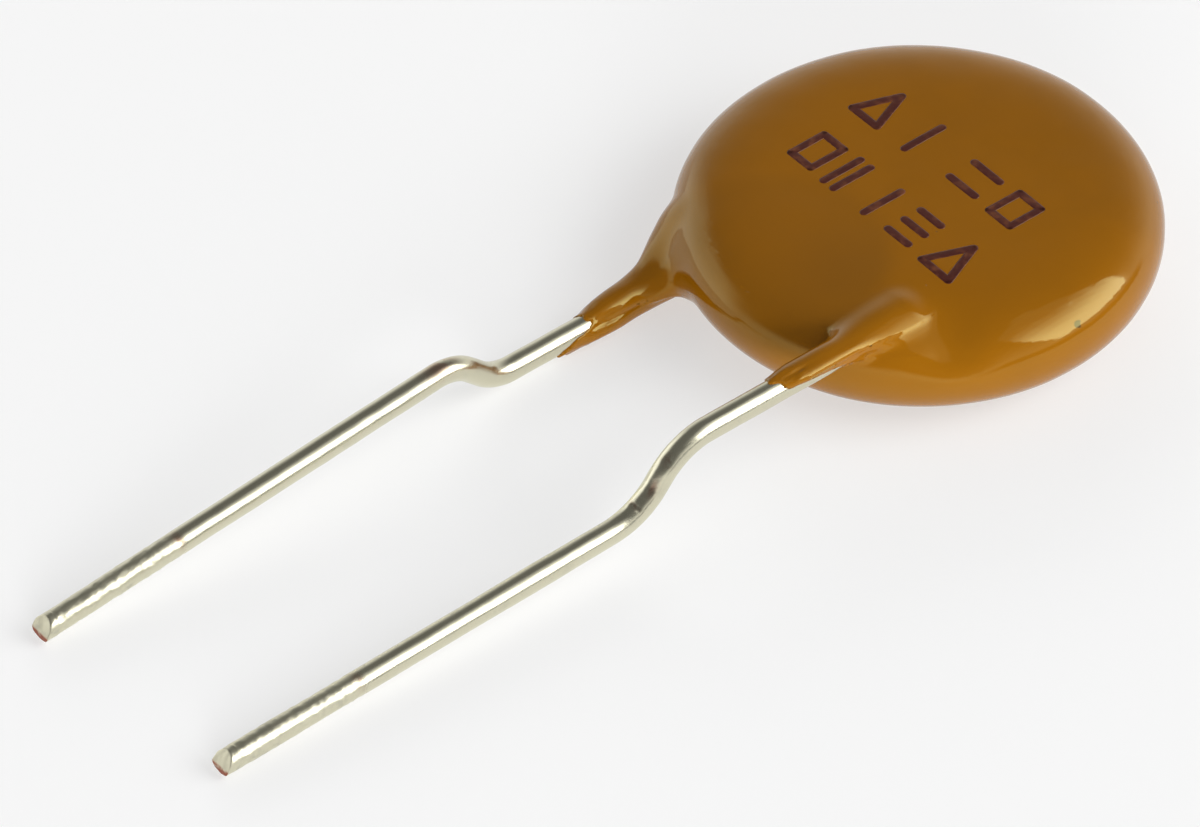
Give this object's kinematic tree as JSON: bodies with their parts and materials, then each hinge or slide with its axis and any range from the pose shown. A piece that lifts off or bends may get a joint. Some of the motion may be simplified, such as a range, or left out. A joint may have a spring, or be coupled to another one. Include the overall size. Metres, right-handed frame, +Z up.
{
  "type": "resettable fuse",
  "caption": "Radial-leaded polymer resettable fuse: flat round epoxy-coated disc with two tinned wire leads, each with a stand-off kink.",
  "frame": {"origin": "under the middle of the part's outer box, on the surface that it lies on", "axes": "+Y along the leads, from their tips towards the disc; +X from the left lead to the right lead; +Z up, along the disc's thickness"},
  "size_m": [0.0098, 0.0248, 0.0023],
  "materials": {
    "epoxy": "gloss",
    "polymer": "matte",
    "nickel": "satin",
    "tinned_copper": "polished",
    "solder": "satin"
  },
  "bodies": {
    "root": {"coating": "epoxy", "polymer_disc": "polymer", "foil_top": "nickel", "foil_bottom": "nickel", "solder_top": "solder", "solder_bottom": "solder", "lead_left": "tinned_copper", "lead_right": "tinned_copper"}
  },
  "joints": []
}
